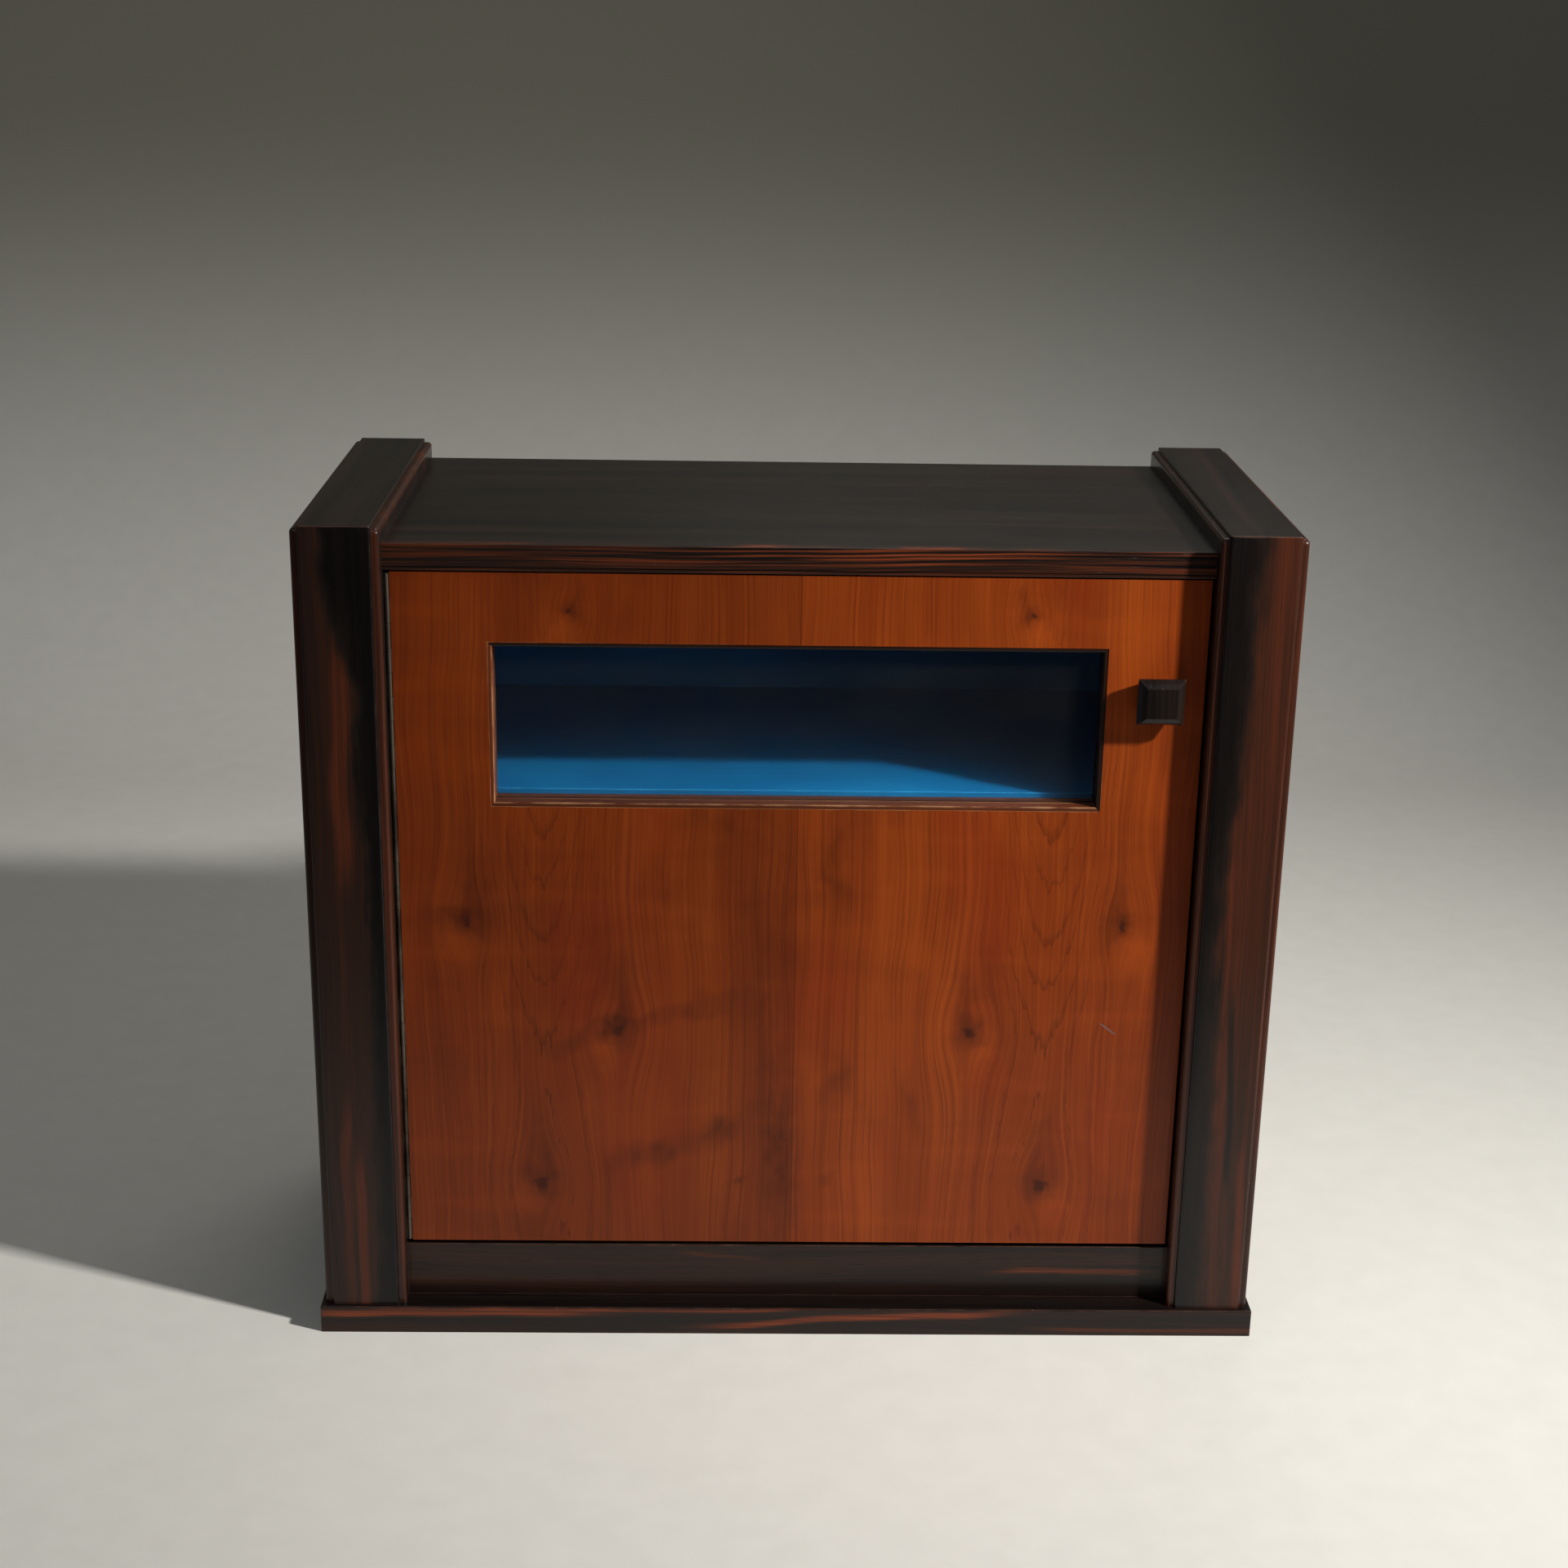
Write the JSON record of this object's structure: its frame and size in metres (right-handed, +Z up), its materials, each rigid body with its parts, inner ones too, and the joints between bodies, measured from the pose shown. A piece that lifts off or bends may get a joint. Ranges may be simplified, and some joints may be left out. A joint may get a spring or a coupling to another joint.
{
  "type": "dry bar cabinet",
  "caption": "Low bar cabinet on a plinth: thick layered side posts, a top set between them and a wide veneered door with a glazed window and square knob, hinged at the left.",
  "frame": {"origin": "on the floor under the middle of the plinth", "axes": "+X to the right seen from the front, +Y to the back, +Z up; the door faces -Y"},
  "size_m": [0.8, 0.36, 0.705],
  "materials": {
    "ebony_veneer": "gloss lacquer",
    "cherry_veneer": "gloss lacquer",
    "blue_painted_wood": "satin paint",
    "door_core_wood": "stained",
    "window_trim_wood": "satin lacquer",
    "joinery_wood": "raw",
    "knob_ebony": "polished",
    "clear_glass": "polished",
    "steel": "satin",
    "brass": "satin"
  },
  "bodies": {
    "case": {"carcass_dowels": "joinery_wood", "plinth_screws": "steel", "batten_screws": "steel", "back_panel_screws": "steel", "hinge_case_screws": "steel", "strike_screws": "steel", "plinth_board": "ebony_veneer", "left_post_foot_rail": "ebony_veneer", "left_post_back_stile": "ebony_veneer", "left_post_top_rail": "ebony_veneer", "left_post_front_stile": "ebony_veneer", "left_post_outer_cheek": "ebony_veneer", "left_post_inner_cheek": "ebony_veneer", "right_post_foot_rail": "ebony_veneer", "right_post_back_stile": "ebony_veneer", "right_post_top_rail": "ebony_veneer", "right_post_front_stile": "ebony_veneer", "right_post_outer_cheek": "ebony_veneer", "right_post_inner_cheek": "ebony_veneer", "top_front_edging": "ebony_veneer", "top_board": "ebony_veneer", "bottom_rail": "ebony_veneer", "floor_board": "blue_painted_wood", "ceiling_panel": "blue_painted_wood", "back_panel": "blue_painted_wood", "left_lining": "blue_painted_wood", "left_shelf_cleat": "blue_painted_wood", "right_lining": "blue_painted_wood", "right_shelf_cleat": "blue_painted_wood", "floor_bearers": "joinery_wood", "shelf": "blue_painted_wood", "strike_plate": "steel", "hinge_case_leaf": "steel", "hinge_pin": "steel"},
    "door": {"door_dowels": "joinery_wood", "door_left_stile": "door_core_wood", "door_right_stile": "door_core_wood", "door_top_rail": "door_core_wood", "door_lower_panel": "door_core_wood", "door_left_veneer": "cherry_veneer", "door_right_veneer": "cherry_veneer", "door_back_veneer": "cherry_veneer", "window_lining_bottom": "window_trim_wood", "glazing_bead_bottom": "window_trim_wood", "window_lining_right": "window_trim_wood", "glazing_bead_right": "window_trim_wood", "window_lining_top": "window_trim_wood", "glazing_bead_top": "window_trim_wood", "window_lining_left": "window_trim_wood", "glazing_bead_left": "window_trim_wood", "glass_pane": "clear_glass", "bead_pins": "steel", "knob": "knob_ebony", "knob_screw": "steel", "hinge_door_leaf": "steel", "hinge_door_screws": "steel", "catch_barrel": "brass", "catch_spring": "steel"},
    "catch_ball": {"catch_ball": "steel"}
  },
  "joints": [
    {"name": "door_hinge", "type": "hinge", "parent": "case", "child": "door", "pos_m": [-0.32465, -0.1555, 0.3702], "axis": [0, 0, -1], "range_deg": [0, 95]},
    {"name": "catch_slide", "type": "slide", "parent": "door", "child": "catch_ball", "axis": [-1, 0, 0], "range_m": [0, 0.002], "stiffness_N_per_m": 400, "springref_m": -0.002, "deforming": ["catch_spring"]}
  ]
}
